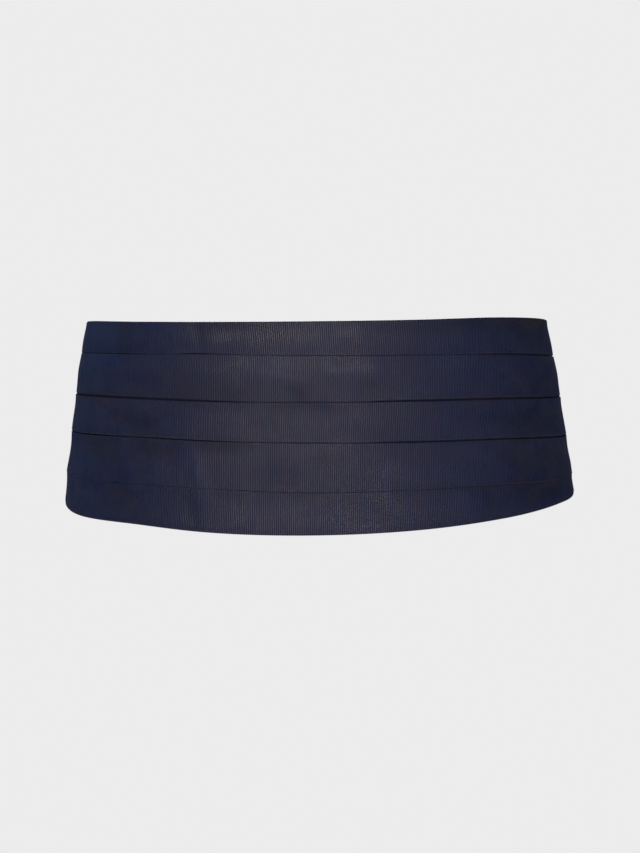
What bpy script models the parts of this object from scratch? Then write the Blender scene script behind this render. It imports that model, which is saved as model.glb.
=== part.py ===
"""Cummerbund as worn: a pleated silk front wrapped round a waist and closed at the back.

The garment is five pieces. The pleated front is one cloth with four knife pleats whose folds
face up, so it shows five bands, each lapped over the one above. A strap is sewn inside each of
its ends. The right strap is folded round a wire eye, the left strap round a stamped hook, and
the hook is fastened in the eye at the centre back.

Metres, +Z up. The front faces -Y and the wearer's left is +X. The origin is the middle of the
waist, level with the middle of the back straps.

Places on the garment are given in three waist coordinates:
    girth    distance round the waist from the centre front, positive towards +X
    depth    distance below the level of the top edge
    outward  distance out of the wearer's waist
"""

import math

import bpy
import numpy as np

MM = 0.001

# The waist: an oval that flares from the top edge of the cloth to its bottom edge.
WAIST_HALF_WIDTH_TOP = 139.7 * MM
WAIST_HALF_WIDTH_BOTTOM = 156.7 * MM
WAIST_ROUNDNESS = 0.73  # half depth over half width
FLARE_CURVE = 0.32  # how much sooner the waist flares than a straight cone
WAIST_LEAN = 2.6 * MM  # how far the bottom edge sits towards +X of the top edge

# The pleated front.
FRONT_HEIGHT = 125.0 * MM
FRONT_HALF_LENGTH = 310.0 * MM
CLOTH = 1.1 * MM  # one layer with its interlining
LAP = 0.65 * MM  # the doubled cloth of a pleat's folded edge
PLEAT_GAP = 0.25 * MM  # open slot behind a folded edge
LAP_SHARE = 0.36  # the slot's depth, as a share of the band below the fold
FLAT_SHARE = 0.55  # how far down a band's face lies flat before it sinks under the next fold
TOP_EDGE = 1.9 * MM  # thickness of the turned top edge
BOTTOM_EDGE = 1.7 * MM  # thickness of the turned bottom edge
FRONT_SECTIONS = 64
FACE_POINTS = 5  # points down each band's face
INSIDE_POINTS = 7  # points up the plain inside
ARC_STEPS = 4  # segments in each rounded edge
LIFT_RAMP = 40.0 * MM  # length over which the front rises to lie over a strap
LIFT_LEVEL = 5.0 * MM  # the last of that length, which is level already

# The back straps, folded from the same cloth.
STRAP_HEIGHT = 44.0 * MM
STRAP_THICKNESS = 1.2 * MM
STRAP_DEPTH = 43.5 * MM  # the middle of the strap below the top level
STRAP_TUCK = 20.0 * MM  # length sewn inside the end of the front
STRAP_ROWS = 5
STRAP_STEP = 6.0 * MM
RETURN_END = 36.0 * MM  # where the folded-back end stops, from the centre back
RETURN_RAMP = 10.0 * MM  # length over which the strap rises over that end
DOUBLED_RUN = 4.0 * MM  # length that then lies flat before the strap rises to the metal
SEAM_GAP = 0.3 * MM

# The fastening, by distance from the centre back (towards +X is positive).
METAL_OUTWARD = 2.5 * MM  # the middle of the metal, out of the waist
WIRE_RADIUS = 0.9 * MM
WIRE_SIDES = 8
EYE_STRAP_BAR = -10.6 * MM
EYE_HOOK_BAR = -3.9 * MM
EYE_CORNER = 2.2 * MM
BAR_ROOM = 0.75 * MM  # spare room at each edge of the strap
PLATE = 1.2 * MM
PLATE_BAR = 2.4 * MM  # width of the bars round the hook's slot
HOOK_ROOT = 3.6 * MM  # where the plate begins
HOOK_SLOT = 3.6 * MM  # width of the slot that takes the strap
STRAP_PLAY = 0.5 * MM  # how far past the slot's middle line the strap turns
TONGUE_HALF_HEIGHT = 10.0 * MM
TONGUE_CLEARANCE = 0.35 * MM
TONGUE_TIP = -0.6 * MM
TONGUE_PINCH = 0.15 * MM  # how much the tongue closes in beside the bar
TONGUE_BEND = 0.9 * MM  # how far past its tip the tongue starts to slope to the plate
ROOT_RUN = 1.6 * MM  # length of the bend where the tongue leaves the plate
ROOT_RISE = 0.25 * MM  # height of that bend

SHARP_EDGE = 40.0  # degrees between faces that meet in an edge and not in a curve

NAVY_SILK = ("navy_silk", (0.016, 0.020, 0.042, 1.0), 0.55, 0.0)
DARK_NICKEL = ("dark_nickel", (0.30, 0.30, 0.31, 1.0), 0.35, 1.0)

# The cut of the front, in millimetres. Each row is a place round the waist, and the other
# columns are depths: the two edges of the cloth and the crests of its four folds.
CUT_COLUMNS = ("girth", "top", "fold_1", "fold_2", "fold_3", "fold_4", "bottom")
CUT_ROWS = (
    (-310.0, 16.0, 27.0, 38.3, 49.6, 60.8, 71.0),
    (-250.0, 5.0, 21.6, 43.0, 63.2, 84.0, 99.5),
    (-185.0, 0.6, 19.9, 45.2, 68.1, 94.4, 115.4),
    (-110.0, 0.6, 19.9, 46.6, 69.4, 96.8, 120.9),
    (-70.0, 0.7, 19.7, 47.6, 70.8, 98.4, 124.0),
    (0.0, 0.3, 20.6, 47.8, 71.6, 100.5, 125.2),
    (60.0, -0.6, 20.3, 47.5, 71.5, 99.0, 122.5),
    (115.0, -2.0, 20.1, 46.8, 70.6, 97.3, 117.0),
    (165.0, -1.2, 21.4, 46.9, 70.7, 96.4, 110.5),
    (200.0, 0.6, 22.2, 46.6, 70.0, 94.2, 106.2),
    (250.0, 5.0, 23.0, 43.6, 63.4, 82.0, 91.5),
    (310.0, 16.0, 27.0, 38.3, 49.6, 60.8, 71.0),
)
CUT = {name: np.array(column) for name, column in zip(CUT_COLUMNS, zip(*CUT_ROWS))}
EDGE_COLUMNS = CUT_COLUMNS[1:]


# ---- the waist ---------------------------------------------------------------------------


def ease(x):
    """0 below 0, 1 above 1, and a smooth S between."""
    x = min(max(x, 0.0), 1.0)
    return x * x * (3.0 - 2.0 * x)


def half_width(depth):
    """Half width of the waist at a depth: it widens downwards, and less and less."""
    down = depth / FRONT_HEIGHT
    share = (1.0 + FLARE_CURVE) * down - FLARE_CURVE * down * down
    return WAIST_HALF_WIDTH_TOP + share * (WAIST_HALF_WIDTH_BOTTOM - WAIST_HALF_WIDTH_TOP)


# Distance round an oval of half width 1, against the angle from its front.
OVAL_ANGLES = np.linspace(-1.5 * math.pi, 1.5 * math.pi, 3001)
OVAL_SPEED = np.hypot(np.cos(OVAL_ANGLES), WAIST_ROUNDNESS * np.sin(OVAL_ANGLES))
OVAL_LENGTHS = np.concatenate(
    ([0.0], np.cumsum((OVAL_SPEED[1:] + OVAL_SPEED[:-1]) / 2 * np.diff(OVAL_ANGLES)))
)
OVAL_LENGTHS -= OVAL_LENGTHS[-1] / 2
HALF_GIRTH = half_width(STRAP_DEPTH) * np.interp(math.pi, OVAL_ANGLES, OVAL_LENGTHS)


def waist_point(girth, depth, outward):
    """The point in space of three waist coordinates.

    In front the cloth lies square, with the same length of cloth at every depth. Towards the
    back it is eased to the flare, so that its ends and the straps stand upright.
    """
    eased = ease((abs(girth) - FRONT_HALF_LENGTH / 2) / (FRONT_HALF_LENGTH / 2))
    at_depth, at_strap = half_width(depth), half_width(STRAP_DEPTH)
    across = at_depth + eased * (at_strap - at_depth)
    angle = np.interp(girth / across, OVAL_LENGTHS, OVAL_ANGLES)
    x, y = math.sin(angle), -WAIST_ROUNDNESS * math.cos(angle)
    normal_x, normal_y = WAIST_ROUNDNESS * math.sin(angle), -math.cos(angle)
    stretch = outward / math.hypot(normal_x, normal_y)
    lean = WAIST_LEAN * (depth - STRAP_DEPTH) / FRONT_HEIGHT
    return (
        x * at_depth + normal_x * stretch + lean,
        y * at_depth + normal_y * stretch,
        STRAP_DEPTH - depth,
    )


def back_point(from_centre, depth, outward):
    """waist_point by the distance from the centre back, which is positive towards +X."""
    return waist_point(HALF_GIRTH - from_centre, depth, outward)


# ---- building ----------------------------------------------------------------------------


def material(look):
    name, colour, roughness, metallic = look
    made = bpy.data.materials.get(name) or bpy.data.materials.new(name)
    made.use_nodes = True
    made.diffuse_color = colour
    shader = made.node_tree.nodes["Principled BSDF"]
    shader.inputs["Base Color"].default_value = colour
    shader.inputs["Roughness"].default_value = roughness
    shader.inputs["Metallic"].default_value = metallic
    return made


def add_object(name, data, look):
    """Puts a mesh or curve in the scene as one piece with its material."""
    data.materials.append(material(look))
    piece = bpy.data.objects.new(name, data)
    bpy.context.scene.collection.objects.link(piece)
    return piece


def add_mesh(name, points, faces, look):
    mesh = bpy.data.meshes.new(name)
    mesh.from_pydata(points, [], faces)
    mesh.shade_smooth()
    mesh.set_sharp_from_angle(angle=math.radians(SHARP_EDGE))
    return add_object(name, mesh, look)


def thicken(piece, thickness):
    """Gives a sheet its wall, half of it on each side."""
    wall = piece.modifiers.new("wall", "SOLIDIFY")
    wall.thickness = thickness
    wall.offset = 0.0
    wall.use_even_offset = True


def grid_faces(rows, columns, kept=lambda row, column: True):
    """Four-sided faces of a grid of points numbered row by row."""
    return [
        (
            row * columns + column,
            row * columns + column + 1,
            (row + 1) * columns + column + 1,
            (row + 1) * columns + column,
        )
        for row in range(rows - 1)
        for column in range(columns - 1)
        if kept(row, column)
    ]


# ---- the pleated front -------------------------------------------------------------------


def cut_at(girth):
    """Depths of the front's edges and folds at a place round the waist, by Hermite curves
    through the rows of the cut."""
    at = girth / MM
    places = CUT["girth"]
    row = int(np.clip(np.searchsorted(places, at) - 1, 0, len(places) - 2))
    span = places[row + 1] - places[row]
    u = (at - places[row]) / span
    depths = []
    for name in EDGE_COLUMNS:
        slopes = np.gradient(CUT[name], places)
        start, end = CUT[name][row], CUT[name][row + 1]
        depths.append(
            start * (2 * u**3 - 3 * u**2 + 1)
            + slopes[row] * span * (u**3 - 2 * u**2 + u)
            + end * (3 * u**2 - 2 * u**3)
            + slopes[row + 1] * span * (u**3 - u**2)
        )
    return [depth * MM for depth in depths]


def arc(centre_outward, centre_depth, radius, start, end):
    """Points of an arc in (outward, depth); 0 degrees is outward and 90 is down."""
    angles = [math.radians(start + (end - start) * i / ARC_STEPS) for i in range(ARC_STEPS + 1)]
    return [
        (centre_outward + radius * math.cos(a), centre_depth + radius * math.sin(a))
        for a in angles
    ]


def band_face(above, below, outer, inner):
    """A band's face from one fold to the next: flat at first, then sinking under the fold."""
    points = []
    for i in range(1, FACE_POINTS + 1):
        share = i / FACE_POINTS
        sunk = ease((share - FLAT_SHARE) / (1.0 - FLAT_SHARE))
        points.append((outer + (inner - outer) * sunk, above + (below - above) * share))
    return points


def front_section(girth):
    """Outline of the front's wall at one place, as (outward, depth), from its top edge down
    the pleated outside and up the plain inside."""
    edges = cut_at(girth)
    radius = LAP / 2
    slot_floor = CLOTH + PLEAT_GAP
    fold_face = slot_floor + LAP
    outline = arc(TOP_EDGE / 2, edges[0] + TOP_EDGE / 2, TOP_EDGE / 2, -180, 0)
    outline += band_face(edges[0] + TOP_EDGE / 2, edges[1], TOP_EDGE, CLOTH)
    for fold, below in zip(edges[1:], edges[2:]):
        slot_end = fold + LAP_SHARE * (below - fold)
        outline += [(CLOTH, slot_end), (slot_floor, slot_end)]
        outline += arc(slot_floor + radius, fold + radius, radius, -180, 0)
        last = below == edges[-1]
        face_end = below - BOTTOM_EDGE / 2 if last else below
        outline += band_face(fold + radius, face_end, fold_face, BOTTOM_EDGE if last else CLOTH)
    outline += arc(BOTTOM_EDGE / 2, edges[-1] - BOTTOM_EDGE / 2, BOTTOM_EDGE / 2, 0, 180)[1:]
    low, high = edges[-1] - BOTTOM_EDGE / 2, edges[0] + TOP_EDGE / 2
    for i in range(1, INSIDE_POINTS):
        outline.append((0.0, low + (high - low) * i / INSIDE_POINTS))
    return outline


def front_lift(girth):
    """How far the front's inside stands off the waist: over a strap, by the strap."""
    start = FRONT_HALF_LENGTH - STRAP_TUCK - LIFT_RAMP
    share = (abs(girth) - start) / (LIFT_RAMP - LIFT_LEVEL)
    return (STRAP_THICKNESS + SEAM_GAP) * ease(share)


def pleated_front():
    places = np.linspace(-FRONT_HALF_LENGTH, FRONT_HALF_LENGTH, FRONT_SECTIONS)
    sections = [front_section(girth) for girth in places]
    around = len(sections[0])
    points = [
        waist_point(girth, depth, outward + front_lift(girth))
        for girth, section in zip(places, sections)
        for outward, depth in section
    ]
    faces = [
        (
            row * around + i,
            row * around + (i + 1) % around,
            (row + 1) * around + (i + 1) % around,
            (row + 1) * around + i,
        )
        for row in range(FRONT_SECTIONS - 1)
        for i in range(around)
    ]
    last = (FRONT_SECTIONS - 1) * around
    faces.append(tuple(reversed(range(around))))
    faces.append(tuple(range(last, last + around)))
    return add_mesh("pleated_front", points, faces, NAVY_SILK)


# ---- the back straps ---------------------------------------------------------------------


def strap_line(turn_centre, turn_radius):
    """The middle line of a strap in plan, as (distance from the centre back, outward): from
    inside the front's end to the metal, round its bar, and back underneath."""
    lying = STRAP_THICKNESS / 2
    doubled = lying + STRAP_THICKNESS + SEAM_GAP
    over, under = METAL_OUTWARD + turn_radius, METAL_OUTWARD - turn_radius
    start = HALF_GIRTH - FRONT_HALF_LENGTH + STRAP_TUCK
    rise_start = RETURN_END - DOUBLED_RUN
    line = []
    steps = round((start - turn_centre) / STRAP_STEP)
    for i in range(steps + 1):
        at = start + (turn_centre - start) * i / steps
        outward = lying + (doubled - lying) * ease((RETURN_END + RETURN_RAMP - at) / RETURN_RAMP)
        rise = ease((rise_start - at) / (rise_start - turn_centre))
        line.append((at, outward + (over - doubled) * rise))
    turn_steps = 2 * ARC_STEPS
    for i in range(1, turn_steps):
        angle = math.pi * i / turn_steps
        line.append(
            (
                turn_centre - turn_radius * math.sin(angle),
                METAL_OUTWARD + turn_radius * math.cos(angle),
            )
        )
    steps = round((RETURN_END - turn_centre) / STRAP_STEP)
    for i in range(steps + 1):
        at = turn_centre + (RETURN_END - turn_centre) * i / steps
        line.append((at, under + (lying - under) * ease(2.0 * i / steps)))
    return line


def back_strap(name, side, turn_centre, turn_radius):
    """A strap on one side: side is 1 towards +X and -1 towards -X."""
    line = strap_line(turn_centre, turn_radius)
    top = STRAP_DEPTH - STRAP_HEIGHT / 2
    depths = [top + STRAP_HEIGHT * row / (STRAP_ROWS - 1) for row in range(STRAP_ROWS)]
    points = [back_point(side * at, depth, outward) for at, outward in line for depth in depths]
    strap = add_mesh(name, points, grid_faces(len(line), STRAP_ROWS), NAVY_SILK)
    thicken(strap, STRAP_THICKNESS)
    return strap


# ---- the hook and eye --------------------------------------------------------------------

BAR_HALF_HEIGHT = STRAP_HEIGHT / 2 + BAR_ROOM


def wire_eye():
    """A narrow ring of round wire: one long side holds the strap and one the hook."""
    half_height = BAR_HALF_HEIGHT + WIRE_RADIUS
    middle = (EYE_STRAP_BAR + EYE_HOOK_BAR) / 2
    half_across = (EYE_HOOK_BAR - EYE_STRAP_BAR) / 2 - EYE_CORNER
    ring = []
    for quarter in range(4):
        across = half_across * (1 if quarter in (0, 3) else -1)
        down = (half_height - EYE_CORNER) * (1 if quarter in (0, 1) else -1)
        for step in range(ARC_STEPS + 1):
            angle = math.pi / 2 * (quarter + step / ARC_STEPS)
            ring.append(
                (
                    middle + across + EYE_CORNER * math.cos(angle),
                    STRAP_DEPTH + down + EYE_CORNER * math.sin(angle),
                )
            )
    curve = bpy.data.curves.new("eye_loop", "CURVE")
    curve.dimensions = "3D"
    curve.bevel_depth = WIRE_RADIUS
    curve.bevel_resolution = WIRE_SIDES // 2 - 2
    spline = curve.splines.new("POLY")
    spline.points.add(len(ring) - 1)
    for point, (across, depth) in zip(spline.points, ring):
        point.co = (*back_point(across, depth, METAL_OUTWARD), 1.0)
    spline.use_cyclic_u = True
    spline.use_smooth = True
    return add_object("eye_loop", curve, DARK_NICKEL)


def tongue_line():
    """The hook's tongue in plan, as (distance from the centre back, outward): out over the
    eye's bar, round it, and back underneath to the tip."""
    radius = WIRE_RADIUS + TONGUE_CLEARANCE + PLATE / 2
    line = [(TONGUE_TIP, METAL_OUTWARD - radius + TONGUE_PINCH)]
    for step in range(2 * ARC_STEPS + 1):
        angle = math.pi * step / (2 * ARC_STEPS)
        line.append(
            (
                EYE_HOOK_BAR - radius * math.sin(angle),
                METAL_OUTWARD - radius * math.cos(angle),
            )
        )
    line.append((TONGUE_TIP - TONGUE_BEND, METAL_OUTWARD + radius - TONGUE_PINCH))
    line.append((HOOK_ROOT - ROOT_RUN, METAL_OUTWARD + ROOT_RISE))
    return line


def stamped_hook():
    """One plate: a slotted end that takes the strap, and a tongue bent into a hook."""
    slot_start = HOOK_ROOT + PLATE_BAR
    slot_end = slot_start + HOOK_SLOT
    plate_columns = [HOOK_ROOT, slot_start, slot_end, slot_end + PLATE_BAR]
    line = tongue_line() + [(at, METAL_OUTWARD) for at in plate_columns]
    bar_end = BAR_HALF_HEIGHT + PLATE_BAR
    heights = (
        -bar_end,
        -BAR_HALF_HEIGHT,
        -TONGUE_HALF_HEIGHT,
        0.0,
        TONGUE_HALF_HEIGHT,
        BAR_HALF_HEIGHT,
        bar_end,
    )
    plate_start = len(line) - len(plate_columns)

    def in_plate(row, column):
        if row < plate_start:
            return column in (2, 3)
        if row == plate_start + 1:
            return column in (0, 5)
        return True

    points = [back_point(at, STRAP_DEPTH + h, outward) for at, outward in line for h in heights]
    faces = grid_faces(len(line), len(heights), in_plate)
    used = sorted({index for face in faces for index in face})
    renumbered = {old: new for new, old in enumerate(used)}
    hook = add_mesh(
        "strap_hook",
        [points[old] for old in used],
        [tuple(renumbered[index] for index in face) for face in faces],
        DARK_NICKEL,
    )
    thicken(hook, PLATE)
    return hook


# ---- the garment -------------------------------------------------------------------------


def clear_scene():
    for leftover in list(bpy.data.objects):
        bpy.data.objects.remove(leftover)


def main():
    clear_scene()
    pleated_front()
    eye_turn = WIRE_RADIUS + SEAM_GAP + STRAP_THICKNESS / 2
    back_strap("back_strap_right", -1, -EYE_STRAP_BAR, eye_turn)
    hook_turn = PLATE / 2 + SEAM_GAP + STRAP_THICKNESS / 2
    hook_turn_centre = HOOK_ROOT + PLATE_BAR + HOOK_SLOT + STRAP_PLAY
    back_strap("back_strap_left", 1, hook_turn_centre, hook_turn)
    wire_eye()
    stamped_hook()


main()
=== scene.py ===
"""Looks of the cummerbund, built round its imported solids, which are loaded as a fixed frame.

Metres, +Z up. The front faces -Y and the wearer's left is +X. The sections follow a maker's
order: the waist that the cloth is shaped on, the silk, the pleated front, the back straps, the
eye and the hook, the sewing, and then the studio.
"""

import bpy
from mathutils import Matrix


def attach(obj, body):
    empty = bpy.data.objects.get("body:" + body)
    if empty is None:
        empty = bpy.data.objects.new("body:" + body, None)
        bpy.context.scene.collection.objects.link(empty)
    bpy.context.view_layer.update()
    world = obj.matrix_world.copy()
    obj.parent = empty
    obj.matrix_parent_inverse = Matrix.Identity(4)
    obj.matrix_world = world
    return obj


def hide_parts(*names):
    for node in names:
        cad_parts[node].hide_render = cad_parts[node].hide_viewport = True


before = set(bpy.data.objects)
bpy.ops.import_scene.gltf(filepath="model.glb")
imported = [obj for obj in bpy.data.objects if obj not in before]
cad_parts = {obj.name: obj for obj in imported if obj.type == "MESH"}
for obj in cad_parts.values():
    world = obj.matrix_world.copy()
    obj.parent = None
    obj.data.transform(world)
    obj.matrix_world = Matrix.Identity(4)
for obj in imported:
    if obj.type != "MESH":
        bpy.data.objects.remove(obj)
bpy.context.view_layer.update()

import math

import bpy
import numpy as np

MM = 0.001

# ---- The waist ------------------------------------------------------------------------------
# The cloth is pressed and worn on an oval waist that flares towards the hips and leans a little
# to one side. Nothing of it shows: it is the form that every piece is laid on. Places on it are
# girth round from the centre front, depth below the top level, and outward from the waist.

HALF_WIDTH_TOP = 139.7 * MM
HALF_WIDTH_BOTTOM = 156.7 * MM
ROUNDNESS = 0.73  # half depth of the oval over its half width
FLARE_CURVE = 0.32
LEAN = 2.6 * MM  # the bottom edge lies this much towards +X of the top edge
FRONT_HEIGHT = 125.0 * MM
FRONT_HALF_LENGTH = 310.0 * MM
STRAP_DEPTH = 43.5 * MM  # level of the origin


def ease(x):
    """0 below 0, 1 above 1, and the cubic 3x^2 - 2x^3 between."""
    x = np.clip(x, 0.0, 1.0)
    return x * x * (3.0 - 2.0 * x)


def half_width(depth):
    """Half width of the waist: a straight flare plus a parabola that makes it sooner."""
    down = depth / FRONT_HEIGHT
    share = (1.0 + FLARE_CURVE) * down - FLARE_CURVE * down * down
    return HALF_WIDTH_TOP + share * (HALF_WIDTH_BOTTOM - HALF_WIDTH_TOP)


oval_angles = np.linspace(-1.5 * math.pi, 1.5 * math.pi, 6001)
oval_speed = np.hypot(np.cos(oval_angles), ROUNDNESS * np.sin(oval_angles))
oval_steps = (oval_speed[1:] + oval_speed[:-1]) / 2 * np.diff(oval_angles)
oval_lengths = np.concatenate(([0.0], np.cumsum(oval_steps)))
oval_lengths -= oval_lengths[-1] / 2
half_girth = half_width(STRAP_DEPTH) * np.interp(math.pi, oval_angles, oval_lengths)


def on_waist(girth, depth, outward):
    """Points in space, stacked on a last axis of x, y, z.

    The angle round the oval is the one whose arc from the front is the girth. In front the arc
    is measured at the point's own depth, so the cloth lies square, and towards the back it is
    eased to the arc at the straps' depth, so that the ends stand upright.
    """
    girth, depth, outward = np.broadcast_arrays(girth, depth, outward)
    eased = ease((np.abs(girth) - FRONT_HALF_LENGTH / 2) / (FRONT_HALF_LENGTH / 2))
    here, at_strap = half_width(depth), half_width(STRAP_DEPTH)
    angle = np.interp(girth / (here + eased * (at_strap - here)), oval_lengths, oval_angles)
    normal_x, normal_y = ROUNDNESS * np.sin(angle), -np.cos(angle)
    stretch = outward / np.hypot(normal_x, normal_y)
    lean = LEAN * (depth - STRAP_DEPTH) / FRONT_HEIGHT
    x = np.sin(angle) * here + normal_x * stretch + lean
    y = -ROUNDNESS * np.cos(angle) * here + normal_y * stretch
    return np.stack((x, y, STRAP_DEPTH - depth), axis=-1)


# ---- The silk -------------------------------------------------------------------------------
# Navy faille: a fine warp over thick ribs that stand upright on the front. The ribs throw the
# light sideways in a broad grey sheen, and where it misses them the cloth is a deep blue. Each
# rib is a little thicker or thinner than its neighbours, with slubs here and there.

RIB = 1.092 * MM  # pitch of the ribs
RIB_HEIGHT = 0.105 * MM
RIB_STRAY = 0.5  # how far a rib strays to its side, in ribs
WARP = 0.34 * MM  # pitch of the fine threads across the ribs
WARP_HEIGHT = 0.05  # heights of the threads and the slubs, in heights of a rib
SLUB_HEIGHT = 0.20
LEAST_RIB = 0.7  # height of the thinnest rib, and what the thickest has more
MORE_RIB = 0.6

# Turns of each noise in a metre along the girth and in a metre down the cloth.
STRAY_TURNS = (40.0, 9.0)
STREAK_TURNS = (0.9, 28.0)  # the first in a rib's width
SLUB_TURNS = (420.0, 2300.0)
CLOUD_TURNS = (60.0, 95.0)
DRIFT_TURNS = (18.0, 34.0)
BLUSH_TURNS = (70.0, 80.0)

VALLEY_SHADE = 0.62  # painted shade: brightness of the colour between the ribs, and what their tops have more
TOP_SHADE = 0.42
VALLEY_ROUGHNESS = 1.04  # roughness between the ribs, and what their tops have less
TOP_GLOSS = 0.72
CLOUD_DULLS = 0.7  # how much the two broad noises change the roughness
DRIFT_DULLS = 0.8
LEAST_ROUGHNESS = 0.28
PRESSED_FLATTENS = 0.85  # what pressing takes off the ribs' height, and what the marks' painted shade takes off the brightness
PRESSED_AND_PAINTED_SHADE_DARKENS = 0.60
PRESSED_DULLS = 0.25  # and what it adds to the roughness
SILK_DEEP = (0.0002, 0.0090, 0.0540, 1.0)
SILK_BLUSH = (0.0080, 0.0070, 0.0420, 1.0)
SILK_WORN_AND_PAINTED_LIGHT = (0.0110, 0.0170, 0.0620, 1.0)
SILK_SHEEN = (1.0, 0.86, 0.70, 1.0)


class Wire:
    """An output socket of a shader. Arithmetic on wires and numbers adds Math nodes."""

    def __init__(self, tree, socket=None):
        self.tree = tree
        self.socket = socket

    def node(self, kind, settings=None, sockets=None, output=0):
        """Adds a node: its settings first, then its sockets' values or wires."""
        made = self.tree.nodes.new(kind)
        for name, value in (settings or {}).items():
            setattr(made, name, value)
        for name, value in (sockets or {}).items():
            if isinstance(value, Wire):
                self.tree.links.new(value.socket, made.inputs[name])
            else:
                made.inputs[name].default_value = value
        return Wire(self.tree, made.outputs[output])

    def math(self, operation, other=0.0):
        """This wire and another or a number, through one Math node."""
        return self.node("ShaderNodeMath", {"operation": operation}, {0: self, 1: other})

    def __add__(self, other):
        return self.math("ADD", other)

    __radd__ = __add__

    def __mul__(self, other):
        return self.math("MULTIPLY", other)

    __rmul__ = __mul__

    def __sub__(self, other):
        return self.math("SUBTRACT", other)

    def __rsub__(self, other):
        return (self * -1.0).math("ADD", other)

    def __truediv__(self, other):
        return self.math("DIVIDE", other)

    def clamped(self, low, high):
        """0 at low, 1 at high and straight between."""
        limits = {"Value": self, "From Min": low, "From Max": high}
        return self.node("ShaderNodeMapRange", {"clamp": True}, limits)

    def vector(self, *parts):
        """A vector from three wires or numbers."""
        return self.node("ShaderNodeCombineXYZ", {}, dict(zip(("X", "Y", "Z"), parts)))

    def noise(self, where, scale=1.0, detail=2.0, roughness=0.5):
        """A smooth random value, 0.5 in the mean, at a place."""
        return self.node(
            "ShaderNodeTexNoise",
            {"noise_dimensions": "3D"},
            {"Vector": where, "Scale": scale, "Detail": detail, "Roughness": roughness},
        )

    def mix(self, factor, first, second, blend="MIX"):
        """Mixes two colours."""
        return self.node(
            "ShaderNodeMix",
            {"data_type": "RGBA", "blend_type": blend},
            {"Factor": factor, 6: first, 7: second},
            output=2,
        )

    def bump(self, height, distance):
        """The normal of a surface raised by a height, from 0 to 1, times a distance."""
        sockets = {"Height": height, "Distance": distance, "Strength": 1.0}
        return self.node("ShaderNodeBump", {}, sockets)


def new_material(name):
    """A material with only a Principled shader, and the wire that starts its expressions."""
    made = bpy.data.materials.new(name)
    made.use_nodes = True
    shader = made.node_tree.nodes["Principled BSDF"]
    return made, shader, Wire(made.node_tree)


def drive(shader, socket, wire):
    """Feeds one of the shader's sockets from a wire."""
    wire.tree.links.new(wire.socket, shader.inputs[socket])


def silk_material(name):
    """Silk by the cloth's own girth and depth, read from its UV map in metres. The ribs are a
    cosine of the girth over their pitch; the creases' marks flatten and dull them where they are
    pressing, darken them with painted shade, and below 0 lighten and gloss them with painted
    highlight."""
    made, shader, start = new_material(name)
    place = start.node("ShaderNodeUVMap", {"uv_map": "cloth"})
    girth = place.node("ShaderNodeSeparateXYZ", {}, {0: place}, output="X")
    depth = place.node("ShaderNodeSeparateXYZ", {}, {0: place}, output="Y")
    pressed_and_painted_light = start.node("ShaderNodeAttribute", {"attribute_name": "pressed_and_painted_light"}, output="Fac")

    def noise(across, turns, layer, detail=2.0, roughness=0.5):
        """A noise over the cloth, in a layer of its own."""
        where = start.vector(across * turns[0], depth * turns[1], layer)
        return start.noise(where, 1.0, detail, roughness)

    across = girth / RIB + (noise(girth, STRAY_TURNS, 0.0) - 0.5) * RIB_STRAY
    rib = 0.5 - (across * (2.0 * math.pi)).math("COSINE") * 0.5
    streak = noise(across, STREAK_TURNS, 4.0, 3.0, 0.6)
    slub = noise(girth, SLUB_TURNS, 9.0)
    cloud = noise(girth, CLOUD_TURNS, 1.0, 3.0, 0.6)
    drift = noise(girth, DRIFT_TURNS, 3.0)
    blush = noise(girth, BLUSH_TURNS, 7.0, 3.0, 0.6)

    warp = (depth * (2.0 * math.pi / WARP)).math("SINE")
    relief = rib * (LEAST_RIB + streak * MORE_RIB) + (slub - 0.5) * SLUB_HEIGHT
    relief = relief + warp * WARP_HEIGHT
    height = relief * (1.0 - pressed_and_painted_light.clamped(0.0, 1.0) * PRESSED_FLATTENS)

    tone = start.mix(blush.clamped(0.40, 0.60), SILK_DEEP, SILK_BLUSH)
    # Random lighter tone from streaks and clouds, less of it under the marks' painted shade and
    # more under their painted highlight.
    worn = streak.clamped(0.32, 0.68) * 0.5 + cloud.clamped(0.35, 0.65) * 0.5 - pressed_and_painted_light * 0.5
    tone = start.mix(worn.clamped(0.0, 1.0), tone, SILK_WORN_AND_PAINTED_LIGHT)
    # Painted shade: darker between the ribs and under the marks' painted shade, lighter under their
    # painted highlight.
    shade = (VALLEY_SHADE + rib * TOP_SHADE) * (1.0 - pressed_and_painted_light * PRESSED_AND_PAINTED_SHADE_DARKENS)
    drive(shader, "Base Color", start.mix(1.0, tone, start.vector(shade, shade, shade), "MULTIPLY"))

    dullness = (cloud - 0.5) * CLOUD_DULLS + (drift - 0.5) * DRIFT_DULLS + pressed_and_painted_light * PRESSED_DULLS
    roughness = VALLEY_ROUGHNESS - rib * TOP_GLOSS + dullness
    roughness = roughness.math("MAXIMUM", LEAST_ROUGHNESS).math("MINIMUM", 1.0)
    drive(shader, "Roughness", roughness)
    shader.inputs["Specular IOR Level"].default_value = 1.0
    shader.inputs["Specular Tint"].default_value = SILK_SHEEN
    drive(shader, "Normal", start.bump(height, RIB_HEIGHT))
    return made


silk = silk_material("navy_silk_faille")


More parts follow.
